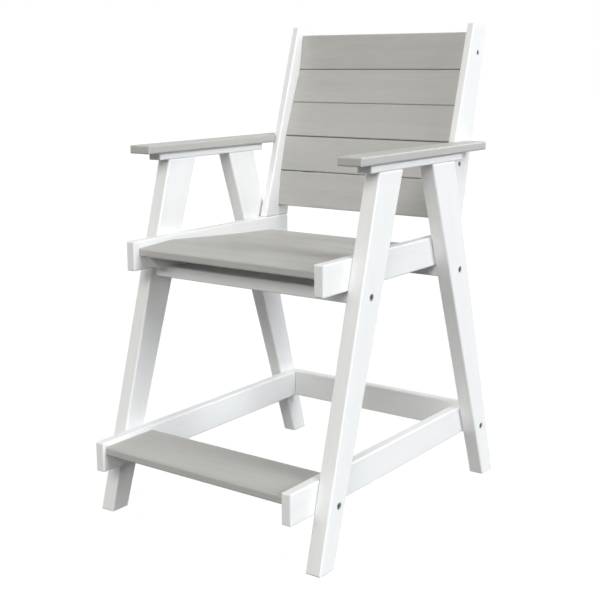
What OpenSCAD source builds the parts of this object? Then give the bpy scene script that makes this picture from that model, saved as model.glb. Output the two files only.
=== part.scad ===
// Counter-height armchair of white and grey plastic lumber. Sizes in mm.
// +Z is up, -Y is the front, X is the width. Left and right are as seen from the front.
// The origin is at floor level, in the middle of the width and of the overall depth.

/* [Overall] */
// Height of the tops of the back uprights
overall_h = 1144.5; // [1125:0.5:1180]
// Depth from the front of the footrest rails to the back of the upright tops
overall_d = 835; // [825:1:845]
// Width over the outer faces of the legs
legs_w = 640; // [600:1:700]
// Height of the top of the arms
arm_top = 859; // [840:1:875]
// Height of the top edge of the seat rails
seat_rail_top = 641.5; // [635:0.5:650]
// Height of the top edge of the footrest rails and the rear stretcher
foot_rail_top = 188; // [170:1:230]

/* [Lumber sizes] */
// Thickness of the legs and the arm blocks
leg_t = 38; // [34:1:42]
// Thickness of the rails, the rear stretcher and the back supports
rail_t = 25.4; // [22:0.2:28]
// Height of the seat rails, footrest rails and rear stretcher
rail_h = 70; // [64:1:76]
// Thickness of the back uprights
upright_t = 20; // [18:0.5:24]
// Thickness of the seat, back and footrest slats and of the seat supports
slat_t = 20; // [18:0.5:22]
// Smallest gap between two neighbouring slats
slat_gap = 0.2; // [0.1:0.1:3]
// Gap between the end of a board and the face beside it
end_gap = 0.4; // [0.2:0.1:1]
// Radius of the eased edges of the frame boards and the arms
ease_r = 4; // [1:0.5:6]
// Radius of the eased edges of the slats
slat_ease_r = 3.5; // [1:0.5:4]

/* [Legs] */
// Width of a front leg at the floor
front_foot_w = 51; // [46:1:60]
// Width of a front leg at its top
front_leg_top_w = 95.5; // [85:0.5:105]
// Front edge of a front leg at the floor, behind the front of the footrest rails
front_foot_y = 46.5; // [40:0.5:55]
// How far the front edge of a front leg leans back by its top
front_leg_rake = 226.5; // [215:0.5:240]
// Width of a rear leg at the floor
rear_foot_w = 52.5; // [46:0.5:60]
// Width of a rear leg at its top
rear_leg_top_w = 102.5; // [90:0.5:110]
// Back edge of a rear leg at the floor, in front of the back of the upright tops
rear_foot_y = 13; // [5:0.5:20]
// How far the back edge of a rear leg leans forward by its top
rear_leg_rake = 223; // [210:0.5:235]

/* [Arms] */
// Thickness of an arm
arm_t = 20; // [18:0.5:24]
// Height of the block between the legs and the arm
arm_block_h = 18.5; // [15:0.5:24]
// Front of an arm behind the front of the footrest rails
arm_y = 187; // [180:1:200]
// Rear end of an arm behind the front of the upright at the arm's underside
arm_tail = 64; // [50:1:80]
// How far an arm reaches past the outer face of the legs
arm_out = 10; // [5:1:20]
// How far an arm reaches past the inner face of the legs
arm_in = 15; // [10:0.5:20]
// Overhang of an arm block in front of the top of the front leg
block_front_over = 33; // [10:0.5:45]
// Overhang of an arm block behind the top of the rear leg
block_rear_over = 37.5; // [10:0.5:45]

/* [Back] */
// Width of an upright where it stands on the seat rail
upright_foot_w = 99; // [90:1:105]
// Width of an upright at its top
upright_top_w = 67.5; // [60:0.5:75]
// How far the back edge of an upright leans back from its foot to its top
upright_rake = 124; // [115:0.5:130]
// Top front corner of the top back slat, in front of the back of the upright tops
back_top_y = 48.3; // [46:0.1:52]
// Height of that corner below the tops of the uprights
back_top_drop = 21.2; // [15:0.1:30]
// Lower edge of the lowest back slat above the top of the seat rails
back_rise = 28.5; // [20:0.5:40]
// Lean of the lowest back slat from the vertical, in degrees
back_lean_1 = 7.7; // [6:0.1:9]
// Lean of the second back slat
back_lean_2 = 14.5; // [13:0.1:16]
// Lean of the third back slat
back_lean_3 = 20.3; // [19:0.1:22]
// Lean of the fourth back slat
back_lean_4 = 21; // [19:0.1:22]
// Lean of the top back slat
back_lean_5 = 9.4; // [8:0.1:12]
// Distance of the hidden back supports from the uprights
back_support_x = 60; // [20:1:120]
// Set-back of their upper and lower ends from the edges of the row of back slats
back_support_drop = 12; // [6:0.5:30]
// Depth of the hidden back supports, measured level
back_support_w = 25; // [15:0.5:28]

/* [Seat] */
// Front of the seat rails behind the front of the footrest rails
seat_rail_y = 118; // [110:1:125]
// Front edge of the front seat slat behind the front of the footrest rails
seat_y = 134; // [130:0.5:140]
// Depth of that slat's top surface at its front edge below the top of the seat rails
seat_drop = 17; // [15:0.5:20]
// Rear edge of the seat in front of the lower edge of the back
seat_back_gap = 33; // [20:0.5:45]
// Width of the front seat slat and of the rear seat slat
seat_end_slat_w = 108; // [100:1:110]
// Rise of the front seat slat towards the back, in degrees
seat_slope_1 = 3.3; // [2:0.1:5]
// Fall of the second seat slat towards the back
seat_slope_2 = 4; // [3:0.1:5]
// Fall of the third seat slat
seat_slope_3 = 3.9; // [3:0.1:5]
// Fall of the fourth seat slat
seat_slope_4 = 3.4; // [2:0.1:4]
// Fall of the rear seat slat
seat_slope_5 = 2.5; // [1:0.1:4]
// Radius of the two front edges of the front seat slat and of the footrest board
nose_r = 5; // [4:0.5:8.5]
// Slope of the front ends of the seat supports, down from the level towards the back
support_slope = 40.7; // [35:0.1:50]
// Set-back of the tips of those ends from the front edge of the seat
support_set_back = 10; // [5:0.5:20]
// Thickness of the two crossbars under the seat rails
crossbar_t = 28; // [24:0.5:32]
// Depth of the two crossbars
crossbar_w = 72; // [56:1:80]
// Middle of an upper leg bolt from the outer long edge of its crossbar
crossbar_bolt_y = 27; // [15:0.5:30]

/* [Footrest] */
// Width of the footrest board
footrest_w = 155; // [120:1:170]
// Front of the footrest board behind the front of its rails
footrest_y = 7.5; // [2:0.5:15]
// Top of the footrest board below the top of its rails
footrest_drop = 10.5; // [2:0.5:20]

/* [Bolts and screws] */
// Diameter of a leg bolt's shank
bolt_d = 8; // [6:0.5:10]
// Diameter of a leg bolt's head
bolt_head_d = 14; // [12:0.5:16]
// Height of a leg bolt's head
bolt_head_h = 5; // [4:0.5:6]
// How deep a leg bolt reaches into the board behind the leg
bolt_grip = 20; // [12:1:22]
// Width across the corners of the hexagon socket in a leg bolt
bolt_socket = 6; // [4:0.5:8]
// Depth of the hexagon socket
bolt_socket_h = 3; // [2:0.5:3.5]
// Depth of a bolt head's or a screw head's face below the board's face
head_sink = 1.5; // [1:0.5:3]
// Height of the lower leg bolts above the bottom of the footrest rails
low_bolt_z = 16; // [14:1:40]
// A lower front bolt behind the middle of its leg
low_bolt_y = 5; // [0:0.5:8]
// An upper rear bolt behind the middle of its leg
high_bolt_y = 4.5; // [0:0.5:8]
// Diameter of a screw's shank
screw_d = 4.5; // [3:0.5:6]
// Diameter of a screw's head
screw_head_d = 10.5; // [7:0.5:13]
// Height of a screw's head
screw_head_h = 3; // [2:0.5:4]
// How deep a screw reaches into the end of a slat
screw_grip = 30; // [20:1:40]
// Place of a screw above the lower edge of its slat
screw_up = 43; // [20:0.5:70]
// Gap round a bolt or a screw in its hole
hole_gap = 0.2; // [0.1:0.1:0.5]
// Gap round the head of a bolt or a screw in its recess
head_gap = 1; // [0.5:0.1:2]

/* [Hidden] */
$fn = 48;
white = [0.93, 0.93, 0.92];
grey = [0.55, 0.55, 0.53];
steel = [0.45, 0.45, 0.46];
// Overshoot of cuts through a face, and overlap of joined shapes
over = 1;

front = -overall_d / 2;
back = overall_d / 2;
leg_x = legs_w / 2 - leg_t;
rail_x = leg_x - rail_t;
slat_l = 2 * (rail_x - end_gap);
leg_top = arm_top - arm_t - arm_block_h;
seat_rail_z = seat_rail_top - rail_h;
foot_rail_z = foot_rail_top - rail_h;
crossbar_z = seat_rail_z - crossbar_t;
bolt_high_z = seat_rail_z - crossbar_t / 2;
bolt_low_z = foot_rail_z + low_bolt_z;

// Outlines of the legs and the upright, as [y, z]
front_leg = [
    [front + front_foot_y, 0],
    [front + front_foot_y + front_foot_w, 0],
    [front + front_foot_y + front_leg_rake + front_leg_top_w, leg_top],
    [front + front_foot_y + front_leg_rake, leg_top]
];
rear_leg = [
    [back - rear_foot_y - rear_foot_w, 0],
    [back - rear_foot_y, 0],
    [back - rear_foot_y - rear_leg_rake, leg_top],
    [back - rear_foot_y - rear_leg_rake - rear_leg_top_w, leg_top]
];
upright_tilt = atan2(overall_h - seat_rail_top, upright_rake);
// Sharp top back corner of the upright, which the rounding takes back to the overall depth
upright_back = back + ease_r * (1 / tan(upright_tilt / 2) - 1);
upright = [
    [upright_back - upright_rake - upright_foot_w, seat_rail_top],
    [upright_back - upright_rake, seat_rail_top],
    [upright_back, overall_h],
    [upright_back - upright_top_w, overall_h]
];

// Middle of a leg at the height z, from its outline
function leg_mid(leg, z) = (leg[0].x + leg[1].x) / 2 * (1 - z / leg_top)
    + (leg[2].x + leg[3].x) / 2 * z / leg_top;
// Front edge of the upright at the height z
function upright_front(z) = upright[0].x
    + (upright[3].x - upright[0].x) * (z - seat_rail_top) / (overall_h - seat_rail_top);

stretcher_y = leg_mid(rear_leg, bolt_low_z) - rail_t / 2;

function dir(a) = [cos(a), sin(a)];
function turn(p, q) = p.x * q.y - p.y * q.x;
// Where the line through p along angle a meets the line through q along angle b
function meet(p, a, q, b) = p + dir(a) * turn(q - p, dir(b)) / turn(dir(a), dir(b));

// Rows of slats: each slat starts at its lower or front face corner and runs along its angle
// in the [y, z] plane, with its thickness on the right-hand side
// Gap on the face side that keeps slat_gap between the nearest corners
function kink_gap(ang, i) = slat_gap + slat_t * tan(max(0, ang[i] - ang[i + 1]));
// Start of slat i in a row of widths wid
function start(p, ang, wid, i) = i == 0 ? p
    : start(p, ang, wid, i - 1) + wid[i - 1] * dir(ang[i - 1])
        + kink_gap(ang, i - 1) * dir((ang[i - 1] + ang[i]) / 2);
// From the start of a row of five slats to its end
function row_end(ang, wid) = start([0, 0], ang, wid, 4) + wid[4] * dir(ang[4]);
// Width of the slats marked 1 in open that makes the row reach as far as r along its axis k
function fill_w(r, k, ang, wid, open) =
    (r - row_end(ang, wid)[k]) / (row_end(ang, wid + open)[k] - row_end(ang, wid)[k]);
// Start of slat i on its hidden side
function under(p, ang, wid, i) = start(p, ang, wid, i) + slat_t * dir(ang[i] - 90);
// Hidden-side outline of a row between its first and its last slat
function under_line(p, ang, wid) = [
    for (i = [0:3]) meet(under(p, ang, wid, i), ang[i], under(p, ang, wid, i + 1), ang[i + 1])
];

// The back hangs from its top corner, and its slats fill the height down to the seat
back_ang = [
    90 - back_lean_1, 90 - back_lean_2, 90 - back_lean_3, 90 - back_lean_4, 90 - back_lean_5
];
back_top = [back - back_top_y, overall_h - back_top_drop];
back_slat_w = fill_w(back_top.y - seat_rail_top - back_rise, 1, back_ang, [0, 0, 0, 0, 0],
    [1, 1, 1, 1, 1]);
back_wid = [for (i = [0:4]) back_slat_w];
back_start = back_top - row_end(back_ang, back_wid);

// The seat starts at its front corner, and its middle slats fill the depth up to the back
seat_ang = [seat_slope_1, -seat_slope_2, -seat_slope_3, -seat_slope_4, -seat_slope_5];
seat_start = [front + seat_y, seat_rail_top - seat_drop];
seat_slat_w = fill_w(back_start.x - seat_back_gap - seat_start.x, 0, seat_ang,
    [seat_end_slat_w, 0, 0, 0, seat_end_slat_w], [0, 1, 1, 1, 0]);
seat_wid = [seat_end_slat_w, seat_slat_w, seat_slat_w, seat_slat_w, seat_end_slat_w];

// Supports that follow the hidden side of the rows of slats
seat_under = under(seat_start, seat_ang, seat_wid, 0);
support_tip = meet([seat_start.x + support_set_back, 0], 90, seat_under, seat_slope_1);
seat_under_end = under(seat_start, seat_ang, seat_wid, 4) + seat_end_slat_w * dir(seat_ang[4]);
seat_support = concat(
    [support_tip],
    under_line(seat_start, seat_ang, seat_wid),
    [seat_under_end, [seat_under_end.x, seat_rail_z]],
    [meet(support_tip, -support_slope, [0, seat_rail_z], 0)]
);
back_support_top = back_top.y - back_support_drop;
back_support_low = back_start.y + back_support_drop;
back_support_front = concat(
    [meet(under(back_start, back_ang, back_wid, 0), back_ang[0], [0, back_support_low], 0)],
    under_line(back_start, back_ang, back_wid),
    [meet(under(back_start, back_ang, back_wid, 4), back_ang[4], [0, back_support_top], 0)]
);
back_support = concat(
    back_support_front,
    [for (i = [len(back_support_front) - 1:-1:0]) back_support_front[i] + [back_support_w, 0]]
);

// Bolts as [y, z] and screws as [y, z]
front_high_bolt = [leg_mid(front_leg, bolt_high_z), bolt_high_z];
front_low_bolt = [leg_mid(front_leg, bolt_low_z) + low_bolt_y, bolt_low_z];
rear_high_bolt = [leg_mid(rear_leg, bolt_high_z) + high_bolt_y, bolt_high_z];
rear_low_bolt = [leg_mid(rear_leg, bolt_low_z), bolt_low_z];
function screw_at(i) = start(back_start, back_ang, back_wid, i) + screw_up * dir(back_ang[i])
    + slat_t / 2 * dir(back_ang[i] - 90);
low_screw = screw_at(1);
high_screw = screw_at(4);

// Shared shapes

function before(o, i) = o[(i + len(o) - 1) % len(o)];
function after(o, i) = o[(i + 1) % len(o)];
function unit(v) = v / norm(v);
// Half of the inner angle at corner i of an outline
function half(o, i) = acos(unit(before(o, i) - o[i]) * unit(after(o, i) - o[i])) / 2;
// Middle of the rounding at corner i
function heart(o, i, r) = o[i]
    + unit(unit(before(o, i) - o[i]) + unit(after(o, i) - o[i])) * r / sin(half(o, i));

// A convex outline, counter-clockwise, with corner i rounded by r[i]
module rounded(o, r) {
    polygon([
        for (i = [0:len(o) - 1], q = [before(o, i), after(o, i)])
            o[i] + unit(q - o[i]) * r[i] / tan(half(o, i))
    ]);
    for (i = [0:len(o) - 1]) translate(heart(o, i, r[i])) circle(r[i]);
}

// What comes off a square edge that runs along +X, with its board on the +Y and -Z sides
module edge_cut(l) {
    translate([-ease_r, ease_r, -ease_r]) rotate([90, 0, 90]) linear_extrude(l + 2 * ease_r)
        difference() {
            translate([-ease_r - over, 0]) square(ease_r + over);
            circle(ease_r);
        }
}

// A board of thickness t with every edge eased
module eased_board(o, t) {
    difference() {
        linear_extrude(t) rounded(o, [for (p = o) ease_r]);
        for (i = [0:len(o) - 1]) {
            run = after(o, i) - o[i];
            translate(o[i]) rotate(atan2(run.y, run.x)) {
                translate([0, 0, t]) edge_cut(norm(run));
                mirror([0, 0, 1]) edge_cut(norm(run));
            }
        }
    }
}

function box_outline(p, w, h) = [p, p + [w, 0], p + [w, h], p + [0, h]];

// Turns a shape in the plane into one whose plane is [y, z], standing from x outwards
module on_side(x) {
    translate([x, 0, 0]) rotate([90, 0, 90]) children();
}

// A board across the frame between the legs, its long edges eased
module crosspiece(y, z, w, h) {
    on_side(-leg_x) linear_extrude(2 * leg_x)
        rounded(box_outline([y, z], w, h), [for (i = [0:3]) ease_r]);
}

// A slat across the chair, from its face corner p along angle a, the edges at p rounded by r
module slat(p, a, w, r) {
    on_side(-slat_l / 2) translate(p) rotate(a) linear_extrude(slat_l)
        rounded(box_outline([0, -slat_t], w, slat_t), [r, slat_ease_r, slat_ease_r, r]);
}

// A straight hole or rod along x at the place p in [y, z]
module rod(p, x, d, l) {
    translate([x, p.x, p.y]) rotate([0, 90, 0]) cylinder(d = d, h = l);
}

// Room for a bolt in the leg, sunk head included
module leg_hole(p) {
    rod(p, leg_x - over, bolt_d + 2 * hole_gap, leg_t + 2 * over);
    rod(p, legs_w / 2 - head_sink - bolt_head_h, bolt_head_d + 2 * head_gap,
        head_sink + bolt_head_h + over);
}

// Room for the end of a bolt in the board behind the leg
module grip_hole(p) {
    rod(p, leg_x - bolt_grip - over, bolt_d + 2 * hole_gap, bolt_grip + 2 * over);
}

module bolt(p) {
    head_x = legs_w / 2 - head_sink - bolt_head_h;
    color(steel) difference() {
        union() {
            rod(p, leg_x - bolt_grip, bolt_d, head_x - leg_x + bolt_grip + over);
            rod(p, head_x, bolt_head_d, bolt_head_h);
        }
        translate([head_x + bolt_head_h - bolt_socket_h, p.x, p.y]) rotate([0, 90, 0])
            cylinder(d = bolt_socket, h = bolt_socket_h + over, $fn = 6);
    }
}

// Room for a screw in the upright, sunk head included
module upright_hole(p) {
    face = rail_x + upright_t;
    rod(p, rail_x - over, screw_d + 2 * hole_gap, upright_t + 2 * over);
    rod(p, face - head_sink - screw_head_h, screw_head_d + 2 * head_gap,
        head_sink + screw_head_h + over);
}

// Room for the screw in the end of its slat
module slat_hole(p) {
    rod(p, rail_x - screw_grip - over, screw_d + 2 * hole_gap, screw_grip + 2 * over);
}

module screw(p) {
    face = rail_x + upright_t - head_sink;
    color(steel) difference() {
        union() {
            rod(p, rail_x - screw_grip, screw_d, face - rail_x + screw_grip - over);
            rod(p, face - screw_head_h, screw_head_d, screw_head_h);
        }
        translate([face - screw_head_h / 2, p.x, p.y]) rotate([0, 90, 0])
            cylinder(d = screw_d, h = screw_head_h, $fn = 4);
    }
}

// Side frames

module front_leg_right() {
    color(white) difference() {
        on_side(leg_x) eased_board(front_leg, leg_t);
        leg_hole(front_high_bolt);
        leg_hole(front_low_bolt);
    }
}

module rear_leg_right() {
    color(white) difference() {
        on_side(leg_x) eased_board(rear_leg, leg_t);
        leg_hole(rear_high_bolt);
        leg_hole(rear_low_bolt);
    }
}

module arm_block_right() {
    y0 = front_leg[3].x - block_front_over;
    y1 = rear_leg[2].x + block_rear_over;
    color(white) on_side(leg_x) eased_board(box_outline([y0, leg_top], y1 - y0, arm_block_h), leg_t);
}

// Arm with its rear inner corner cut away round the upright
module arm_right() {
    x0 = leg_x - arm_in;
    x1 = legs_w / 2 + arm_out;
    y0 = front + arm_y;
    upright_y = upright_front(arm_top - arm_t);
    y1 = upright_y + arm_tail;
    notch_y = upright_y - end_gap;
    color(grey) translate([0, 0, arm_top - arm_t]) difference() {
        eased_board(box_outline([x0, y0], x1 - x0, y1 - y0), arm_t);
        translate([x0 - over, notch_y, -over])
            cube([rail_x + upright_t + end_gap - x0 + over, y1 - notch_y + over, arm_t + 2 * over]);
    }
}

module upright_right() {
    color(white) difference() {
        on_side(rail_x) eased_board(upright, upright_t);
        upright_hole(low_screw);
        upright_hole(high_screw);
    }
}

module seat_rail_right() {
    y = front + seat_rail_y;
    color(white) on_side(rail_x)
        eased_board(box_outline([y, seat_rail_z], upright[1].x - y, rail_h), rail_t);
}

module footrest_rail_right() {
    color(white) difference() {
        on_side(rail_x)
            eased_board(box_outline([front, foot_rail_z], stretcher_y - front, rail_h), rail_t);
        grip_hole(front_low_bolt);
    }
}

// Boards across the frame

module rear_stretcher() {
    color(white) difference() {
        crosspiece(stretcher_y, foot_rail_z, rail_t, rail_h);
        grip_hole(rear_low_bolt);
        mirror([1, 0, 0]) grip_hole(rear_low_bolt);
    }
}

module crossbar(y, p) {
    color(white) difference() {
        crosspiece(y, crossbar_z, crossbar_w, crossbar_t);
        grip_hole(p);
        mirror([1, 0, 0]) grip_hole(p);
    }
}

module seat_crossbar_front() {
    crossbar(front_high_bolt.x - crossbar_bolt_y, front_high_bolt);
}

module seat_crossbar_rear() {
    crossbar(rear_high_bolt.x + crossbar_bolt_y - crossbar_w, rear_high_bolt);
}

module seat_support_right() {
    color(white) on_side(rail_x - slat_t) linear_extrude(slat_t) polygon(seat_support);
}

module back_support_right() {
    color(white) on_side(rail_x - back_support_x - rail_t) linear_extrude(rail_t)
        polygon(back_support);
}

// Slats

module seat_slat(i) {
    r = i == 0 ? nose_r : slat_ease_r;
    color(grey) slat(start(seat_start, seat_ang, seat_wid, i), seat_ang[i], seat_wid[i], r);
}

module back_slat(i) {
    p = start(back_start, back_ang, back_wid, i);
    color(grey) slat(p, back_ang[i], back_slat_w, slat_ease_r);
}

// Back slat held by a screw at each end
module screwed_back_slat(i, p) {
    color(grey) difference() {
        back_slat(i);
        slat_hole(p);
        mirror([1, 0, 0]) slat_hole(p);
    }
}

module footrest_board() {
    p = [front + footrest_y, foot_rail_top - footrest_drop];
    color(grey) slat(p, 0, footrest_w, nose_r);
}

module other_side() {
    mirror([1, 0, 0]) children();
}

other_side() front_leg_right();  // front_leg_left
front_leg_right();
other_side() rear_leg_right();  // rear_leg_left
rear_leg_right();
other_side() arm_block_right();  // arm_block_left
arm_block_right();
other_side() arm_right();  // arm_left
arm_right();
other_side() upright_right();  // upright_left
upright_right();
other_side() seat_rail_right();  // seat_rail_left
seat_rail_right();
other_side() footrest_rail_right();  // footrest_rail_left
footrest_rail_right();
rear_stretcher();
seat_crossbar_front();
seat_crossbar_rear();
other_side() seat_support_right();  // seat_support_left
seat_support_right();
other_side() back_support_right();  // back_support_left
back_support_right();
seat_slat(0);  // seat_slat_1
seat_slat(1);  // seat_slat_2
seat_slat(2);  // seat_slat_3
seat_slat(3);  // seat_slat_4
seat_slat(4);  // seat_slat_5
back_slat(0);  // back_slat_1
screwed_back_slat(1, low_screw);  // back_slat_2
back_slat(2);  // back_slat_3
back_slat(3);  // back_slat_4
screwed_back_slat(4, high_screw);  // back_slat_5
footrest_board();
other_side() bolt(front_high_bolt);  // bolt_front_high_left
bolt(front_high_bolt);  // bolt_front_high_right
other_side() bolt(front_low_bolt);  // bolt_front_low_left
bolt(front_low_bolt);  // bolt_front_low_right
other_side() bolt(rear_high_bolt);  // bolt_rear_high_left
bolt(rear_high_bolt);  // bolt_rear_high_right
other_side() bolt(rear_low_bolt);  // bolt_rear_low_left
bolt(rear_low_bolt);  // bolt_rear_low_right
other_side() screw(low_screw);  // screw_low_left
screw(low_screw);  // screw_low_right
other_side() screw(high_screw);  // screw_high_left
screw(high_screw);  // screw_high_right
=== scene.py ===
"""Looks for the counter chair: lumber and fastener materials, camera and plain studio light."""
import math

import bpy
from mathutils import Matrix, Vector


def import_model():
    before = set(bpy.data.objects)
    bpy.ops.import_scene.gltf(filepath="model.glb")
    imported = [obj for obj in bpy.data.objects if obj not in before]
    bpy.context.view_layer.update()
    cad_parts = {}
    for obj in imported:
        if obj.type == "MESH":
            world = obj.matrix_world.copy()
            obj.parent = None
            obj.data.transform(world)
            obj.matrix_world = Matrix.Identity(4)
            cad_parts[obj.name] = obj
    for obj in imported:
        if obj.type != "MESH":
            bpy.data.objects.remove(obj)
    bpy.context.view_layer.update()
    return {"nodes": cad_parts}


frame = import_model()
SCENE = bpy.context.scene

# Camera, in metres and degrees, as fitted to the photograph's straight edges
CAMERA_AT = (1.58438, -2.14129, 1.05590)
AZIMUTH, ELEVATION, ROLL = 35.8517, 8.7713, -0.3320
SENSOR = 36.0
FOCAL = 67.35
SHIFT = (-0.02, -0.11)

# Studio light: level of the surroundings, width of each lamp as seen from the chair in degrees, and
# each lamp's name, azimuth, elevation, strength and tint
SKY = 0.2
LAMP_SPREAD = 25
LAMPS = (
    ("key", 90, 25, 1.75, (0.965, 1.0, 1.035)),
    ("key_low", 100, 5, 0.6, (0.98, 1.0, 1.03)),
    ("front", 20, 30, 1.45, (1.01, 1.0, 0.96)),
    ("front_left", -20, 20, 0.35, (1.02, 1.0, 0.95)),
    ("above", 105, 62, 0.35, (1.03, 1.0, 0.95)),
    ("rear_right", 155, 30, 0.3, (0.95, 1.0, 1.05)),
    ("left", -95, 6, 1.35, (1.0, 1.0, 1.0)),
    ("rear", 180, 12, 1.2, (1.0, 1.0, 1.0)),
)

# Floor: half its side in metres, its colour as the chair is lit by it, and its colour and glow as seen
FLOOR_HALF = 30.0
FLOOR_LIT = 0.1
FLOOR_VEIL = 0.12
FLOOR_GLOW = 0.93

# Lumber: how many times longer than wide its streaks are, the noise scales of its broad and fine
# streaks, of its skin and of the specks on a sawn end, and the share of the noise that they span
STREAK_LENGTH = 16.0
BROAD, FINE, SKIN, SPECKS = 26.0, 260.0, 700.0, 420.0
NOISE_SPAN = (0.33, 0.67)
# How much finer noise counts in the grain, and how far the broad streaks wander
GRAIN_ROUGHNESS = 0.6
BROAD_WANDER = 0.3
# How squarely a surface faces along the board where it starts to be a sawn end, and where it is one
SAWN_FROM, SAWN_FULL = 0.8, 0.95
# Least and most that the skin adds to the roughness, its height in metres and how strongly it shows
ROUGHER = (-0.08, 0.10)
SKIN_HEIGHT = 0.0002
SKIN_STRENGTH = 0.4
PLASTIC_IOR = 1.49

# Each lumber's darkest and lightest colour and its roughness, and how far the legs lean in degrees
WHITE = ((0.835, 0.84, 0.84), (0.875, 0.88, 0.88), 0.45)
GREY = ((0.435, 0.430, 0.412), (0.503, 0.498, 0.480), 0.48)
LEAN = 16.5

# Steel: noise scale, darkest and lightest colour, and least and most roughness
STEEL_GRAIN = 900.0
STEEL_TONES = ((0.12, 0.12, 0.125), (0.25, 0.25, 0.26))
STEEL_ROUGH = (0.32, 0.50)

X, Y, Z = 0, 1, 2


def principled(name):
    """A new material with nothing but a Principled shader."""
    mat = bpy.data.materials.new(name)
    mat.use_nodes = True
    tree = mat.node_tree
    tree.nodes.clear()
    out = tree.nodes.new("ShaderNodeOutputMaterial")
    shader = tree.nodes.new("ShaderNodeBsdfPrincipled")
    tree.links.new(shader.outputs[0], out.inputs[0])
    return mat, tree, shader


def add(tree, kind, **values):
    """A node with its sockets set by name and its properties by attribute."""
    node = tree.nodes.new(kind)
    for key, value in values.items():
        if key in node.inputs:
            node.inputs[key].default_value = value
        else:
            setattr(node, key, value)
    return node


def lumber(name, dark, light, rough, axis, lean=0.0):
    """Extruded plastic lumber: streaks and a fine skin along each board, plain sawn ends.

    The board runs along an axis, leaning from it towards the back by an angle in degrees."""
    mat, tree, shader = principled(name)
    link = tree.links.new
    coord = add(tree, "ShaderNodeTexCoord")
    length = [1.0, 1.0, 1.0]
    length[axis] = STREAK_LENGTH
    turned = (math.radians(-lean), 0, 0)
    stretch = add(tree, "ShaderNodeMapping", vector_type="TEXTURE", Rotation=turned, Scale=length)
    link(coord.outputs["Object"], stretch.inputs["Vector"])

    def noise(source, scale, detail, distortion=0.0):
        node = add(tree, "ShaderNodeTexNoise", Scale=scale, Detail=detail, Distortion=distortion)
        node.inputs["Roughness"].default_value = GRAIN_ROUGHNESS
        link(source, node.inputs["Vector"])
        return node.outputs["Fac"]

    def mean(a, b):
        total = add(tree, "ShaderNodeMath", operation="ADD")
        link(a, total.inputs[0])
        link(b, total.inputs[1])
        half = add(tree, "ShaderNodeMath", operation="MULTIPLY")
        link(total.outputs[0], half.inputs[0])
        half.inputs[1].default_value = 0.5
        return half.outputs[0]

    # Where a surface faces along the board it is a sawn end, with specks instead of streaks
    normal = add(tree, "ShaderNodeMapping", vector_type="TEXTURE", Rotation=turned)
    link(coord.outputs["Normal"], normal.inputs["Vector"])
    facing = add(tree, "ShaderNodeSeparateXYZ")
    link(normal.outputs[0], facing.inputs[0])
    size = add(tree, "ShaderNodeMath", operation="ABSOLUTE")
    link(facing.outputs[axis], size.inputs[0])
    sawn = add(tree, "ShaderNodeMapRange")
    sawn.inputs["From Min"].default_value = SAWN_FROM
    sawn.inputs["From Max"].default_value = SAWN_FULL
    link(size.outputs[0], sawn.inputs["Value"])

    broad = noise(stretch.outputs[0], BROAD, 3.0, BROAD_WANDER)
    fine = noise(stretch.outputs[0], FINE, 3.0)
    specks = noise(coord.outputs["Object"], SPECKS, 2.0)
    tone = add(tree, "ShaderNodeMix", data_type="FLOAT")
    link(sawn.outputs[0], tone.inputs[0])
    link(mean(broad, fine), tone.inputs[2])
    link(specks, tone.inputs[3])
    ramp = add(tree, "ShaderNodeValToRGB")
    for element, position, colour in zip(ramp.color_ramp.elements, NOISE_SPAN, (dark, light)):
        element.position = position
        element.color = (*colour, 1)
    link(tone.outputs[0], ramp.inputs[0])
    link(ramp.outputs[0], shader.inputs["Base Color"])

    height = mean(fine, noise(stretch.outputs[0], SKIN, 3.0))
    spread = add(tree, "ShaderNodeMapRange")
    spread.inputs["To Min"].default_value = rough + ROUGHER[0]
    spread.inputs["To Max"].default_value = rough + ROUGHER[1]
    link(height, spread.inputs["Value"])
    link(spread.outputs[0], shader.inputs["Roughness"])
    bump = add(tree, "ShaderNodeBump", Strength=SKIN_STRENGTH, Distance=SKIN_HEIGHT)
    link(height, bump.inputs["Height"])
    link(bump.outputs[0], shader.inputs["Normal"])
    shader.inputs["IOR"].default_value = PLASTIC_IOR
    return mat


def sunk_steel():
    """Stainless bolt and screw heads, turned and a little dull."""
    mat, tree, shader = principled("fastener_steel")
    link = tree.links.new
    coord = add(tree, "ShaderNodeTexCoord")
    noise = add(tree, "ShaderNodeTexNoise", Scale=STEEL_GRAIN, Detail=2.0)
    link(coord.outputs["Object"], noise.inputs["Vector"])
    tone = add(tree, "ShaderNodeValToRGB")
    for element, colour in zip(tone.color_ramp.elements, STEEL_TONES):
        element.color = (*colour, 1)
    link(noise.outputs["Fac"], tone.inputs[0])
    link(tone.outputs[0], shader.inputs["Base Color"])
    dull = add(tree, "ShaderNodeMapRange")
    dull.inputs["To Min"].default_value, dull.inputs["To Max"].default_value = STEEL_ROUGH
    link(noise.outputs["Fac"], dull.inputs["Value"])
    link(dull.outputs[0], shader.inputs["Roughness"])
    shader.inputs["Metallic"].default_value = 1.0
    return mat


MATERIALS = {
    "white_across": lumber("white_lumber_across", *WHITE, X),
    "white_deep": lumber("white_lumber_deep", *WHITE, Y),
    "white_lean_back": lumber("white_lumber_lean_back", *WHITE, Z, LEAN),
    "white_lean_forward": lumber("white_lumber_lean_forward", *WHITE, Z, -LEAN),
    "grey_across": lumber("grey_lumber_across", *GREY, X),
    "grey_deep": lumber("grey_lumber_deep", *GREY, Y),
    "steel": sunk_steel(),
}


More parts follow.
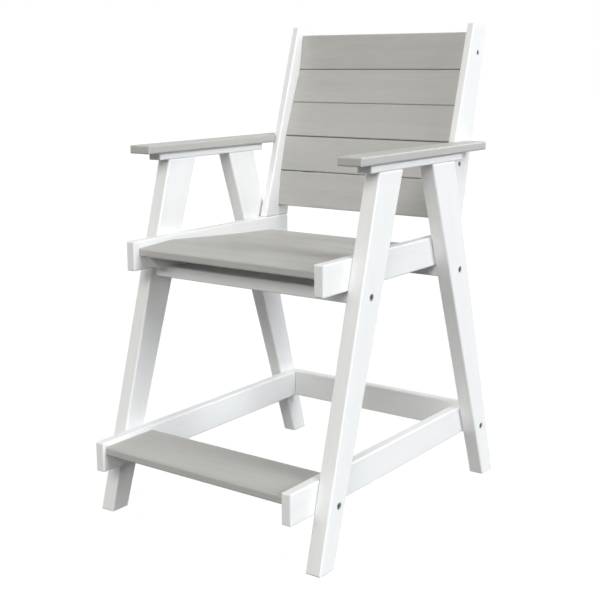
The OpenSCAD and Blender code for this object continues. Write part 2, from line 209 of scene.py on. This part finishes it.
def material_for(node):
    """The material of a node, with its streaks along the board."""
    if node.startswith(("bolt_", "screw_")):
        return MATERIALS["steel"]
    if node.startswith(("seat_slat", "back_slat", "footrest_board")):
        return MATERIALS["grey_across"]
    if node in ("arm_left", "arm_right"):
        return MATERIALS["grey_deep"]
    if "crossbar" in node or "stretcher" in node:
        return MATERIALS["white_across"]
    if node.startswith("rear_leg"):
        return MATERIALS["white_lean_forward"]
    if node.startswith(("front_leg", "upright", "back_support")):
        return MATERIALS["white_lean_back"]
    return MATERIALS["white_deep"]


for name, obj in frame["nodes"].items():
    obj.data.materials.clear()
    obj.data.materials.append(material_for(name))


def seen_directly(tree):
    """1 for rays from the camera and for those mirrored or let through on their way, else 0."""
    path = add(tree, "ShaderNodeLightPath")
    total = path.outputs["Is Camera Ray"]
    for name in ("Is Glossy Ray", "Is Transmission Ray"):
        either = add(tree, "ShaderNodeMath", operation="MAXIMUM")
        tree.links.new(total, either.inputs[0])
        tree.links.new(path.outputs[name], either.inputs[1])
        total = either.outputs[0]
    return total


def grey(level):
    """A neutral colour of that level."""
    return (level, level, level, 1)


def floor():
    """A pale floor that reads as the white background and keeps the chair's soft shadow."""
    mesh = bpy.data.meshes.new("floor")
    corners = [(FLOOR_HALF * x, FLOOR_HALF * y, 0) for x, y in ((-1, -1), (1, -1), (1, 1), (-1, 1))]
    mesh.from_pydata(corners, [], [(0, 1, 2, 3)])
    obj = bpy.data.objects.new("floor", mesh)
    SCENE.collection.objects.link(obj)
    mat = bpy.data.materials.new("floor_paper")
    mat.use_nodes = True
    tree = mat.node_tree
    tree.nodes.clear()
    link = tree.links.new
    out = add(tree, "ShaderNodeOutputMaterial")
    pick = add(tree, "ShaderNodeMixShader")
    plain = add(tree, "ShaderNodeBsdfDiffuse", Color=grey(FLOOR_LIT))
    seen = add(tree, "ShaderNodeAddShader")
    veil = add(tree, "ShaderNodeBsdfDiffuse", Color=grey(FLOOR_VEIL))
    glow = add(tree, "ShaderNodeEmission", Color=grey(FLOOR_GLOW))
    link(seen_directly(tree), pick.inputs[0])
    link(plain.outputs[0], pick.inputs[1])
    link(veil.outputs[0], seen.inputs[0])
    link(glow.outputs[0], seen.inputs[1])
    link(seen.outputs[0], pick.inputs[2])
    link(pick.outputs[0], out.inputs[0])
    mesh.materials.append(mat)


def world():
    """White where the camera looks past the chair, a dim white as light."""
    sky = bpy.data.worlds.new("studio")
    SCENE.world = sky
    sky.use_nodes = True
    tree = sky.node_tree
    tree.nodes.clear()
    link = tree.links.new
    out = add(tree, "ShaderNodeOutputWorld")
    pick = add(tree, "ShaderNodeMixShader")
    light = add(tree, "ShaderNodeBackground", Color=grey(1), Strength=SKY)
    white = add(tree, "ShaderNodeBackground", Color=grey(1), Strength=1.0)
    link(seen_directly(tree), pick.inputs[0])
    link(light.outputs[0], pick.inputs[1])
    link(white.outputs[0], pick.inputs[2])
    link(pick.outputs[0], out.inputs[0])


def soft_lamp(name, azimuth, elevation, strength, tint):
    """A far, wide lamp: its azimuth is from the front towards +X, in degrees, as is its elevation."""
    lamp = bpy.data.lights.new(name, "SUN")
    lamp.energy = strength
    lamp.color = tint
    lamp.angle = math.radians(LAMP_SPREAD)
    obj = bpy.data.objects.new(name, lamp)
    SCENE.collection.objects.link(obj)
    az, el = math.radians(azimuth), math.radians(elevation)
    towards = Vector((math.cos(el) * math.sin(az), -math.cos(el) * math.cos(az), math.sin(el)))
    obj.rotation_euler = towards.to_track_quat("Z", "Y").to_euler()


def camera():
    """The camera, turned from its azimuth, elevation and roll."""
    az, el, roll = (math.radians(a) for a in (AZIMUTH, ELEVATION, ROLL))
    back = Vector((math.sin(az) * math.cos(el), -math.cos(az) * math.cos(el), math.sin(el)))
    flat = Vector((math.cos(az), math.sin(az), 0))
    lift = back.cross(flat)
    right = flat * math.cos(roll) + lift * math.sin(roll)
    up = lift * math.cos(roll) - flat * math.sin(roll)
    cam = bpy.data.cameras.new("camera")
    cam.sensor_fit = "HORIZONTAL"
    cam.sensor_width = SENSOR
    cam.lens = FOCAL
    cam.shift_x, cam.shift_y = SHIFT
    obj = bpy.data.objects.new("camera", cam)
    SCENE.collection.objects.link(obj)
    turn = Matrix((right, up, back)).transposed().to_4x4()
    obj.matrix_world = Matrix.Translation(CAMERA_AT) @ turn
    SCENE.camera = obj


floor()
world()
for lamp in LAMPS:
    soft_lamp(*lamp)
camera()

SCENE.view_settings.view_transform = "Standard"
